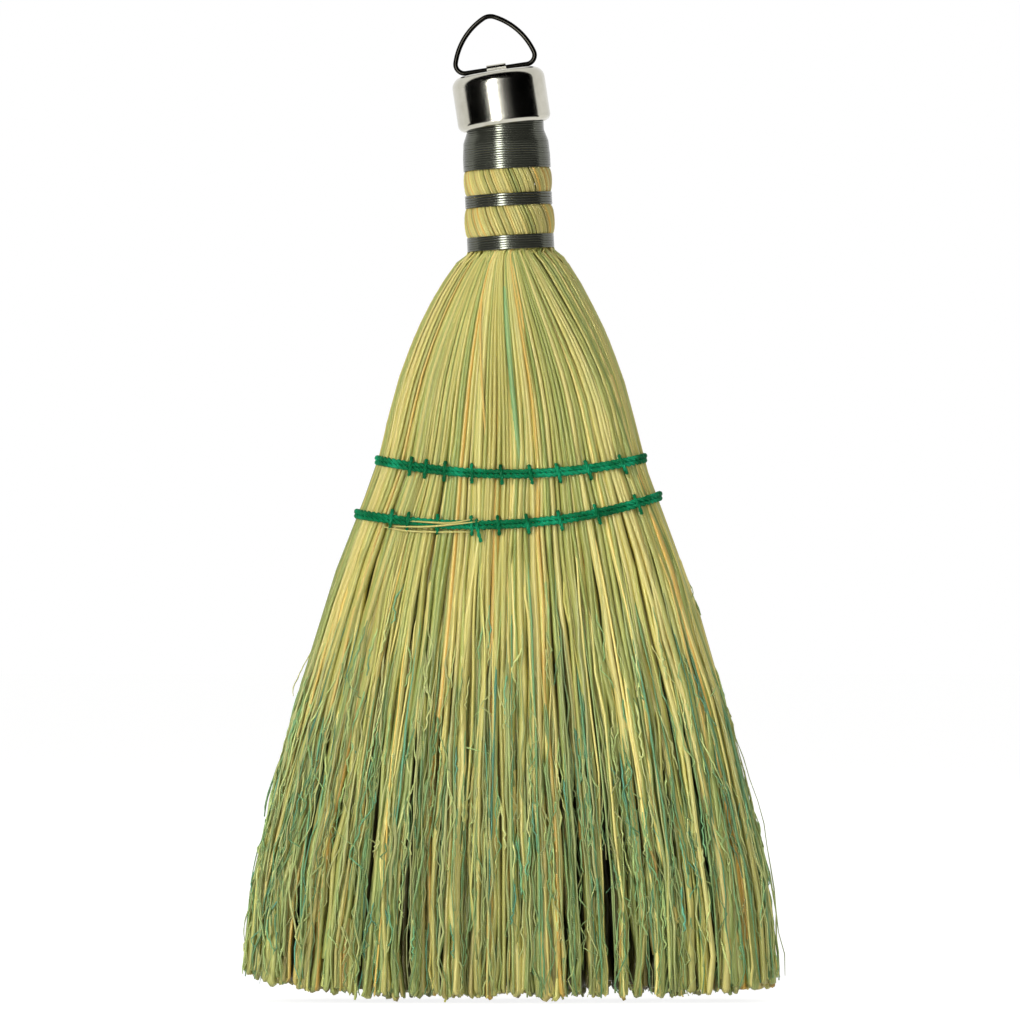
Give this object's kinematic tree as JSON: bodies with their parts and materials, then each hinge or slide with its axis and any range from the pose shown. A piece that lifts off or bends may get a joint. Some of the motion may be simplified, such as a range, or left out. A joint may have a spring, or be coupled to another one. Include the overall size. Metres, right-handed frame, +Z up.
{
  "type": "hand broom",
  "caption": "Corn whisk broom: straw tufts wired to a round handle and sewn flat with green twine, with a bright metal cap and a swinging wire hanging ring.",
  "frame": {"origin": "middle of the trimmed straw ends, on the surface that the broom stands on", "axes": "+Z up towards the hanging ring, +X along the width of the sweep, -Y is the front"},
  "size_m": [0.168, 0.0374, 0.3044],
  "materials": {
    "straw": "matte",
    "stalk": "matte",
    "binding_wire": "satin",
    "twine": "matte",
    "cap_metal": "polished",
    "ring_metal": "polished"
  },
  "bodies": {
    "broom": {"cap": "cap_metal", "stalk_core": "stalk", "left_side_tuft": "straw", "right_side_tuft": "straw", "front_tuft_1": "straw", "front_tuft_2": "straw", "front_tuft_3": "straw", "front_tuft_4": "straw", "front_tuft_5": "straw", "front_tuft_6": "straw", "front_tuft_7": "straw", "front_tuft_8": "straw", "back_tuft_1": "straw", "back_tuft_2": "straw", "back_tuft_3": "straw", "back_tuft_4": "straw", "back_tuft_5": "straw", "back_tuft_6": "straw", "back_tuft_7": "straw", "back_tuft_8": "straw", "lower_wire_winding": "binding_wire", "middle_wire_winding": "binding_wire", "upper_wire_winding": "binding_wire", "core_wire_winding": "binding_wire", "upper_twine_wrap": "twine", "upper_stitching": "twine", "lower_twine_wrap": "twine", "lower_stitching": "twine"},
    "ring": {"hanging_ring": "ring_metal"}
  },
  "joints": [
    {"name": "ring_swing", "type": "hinge", "parent": "broom", "child": "ring", "pos_m": [-0.00449, 0, 0.28751], "axis": [0.9888, 0, 0.1495], "range_deg": [-90, 90]}
  ]
}
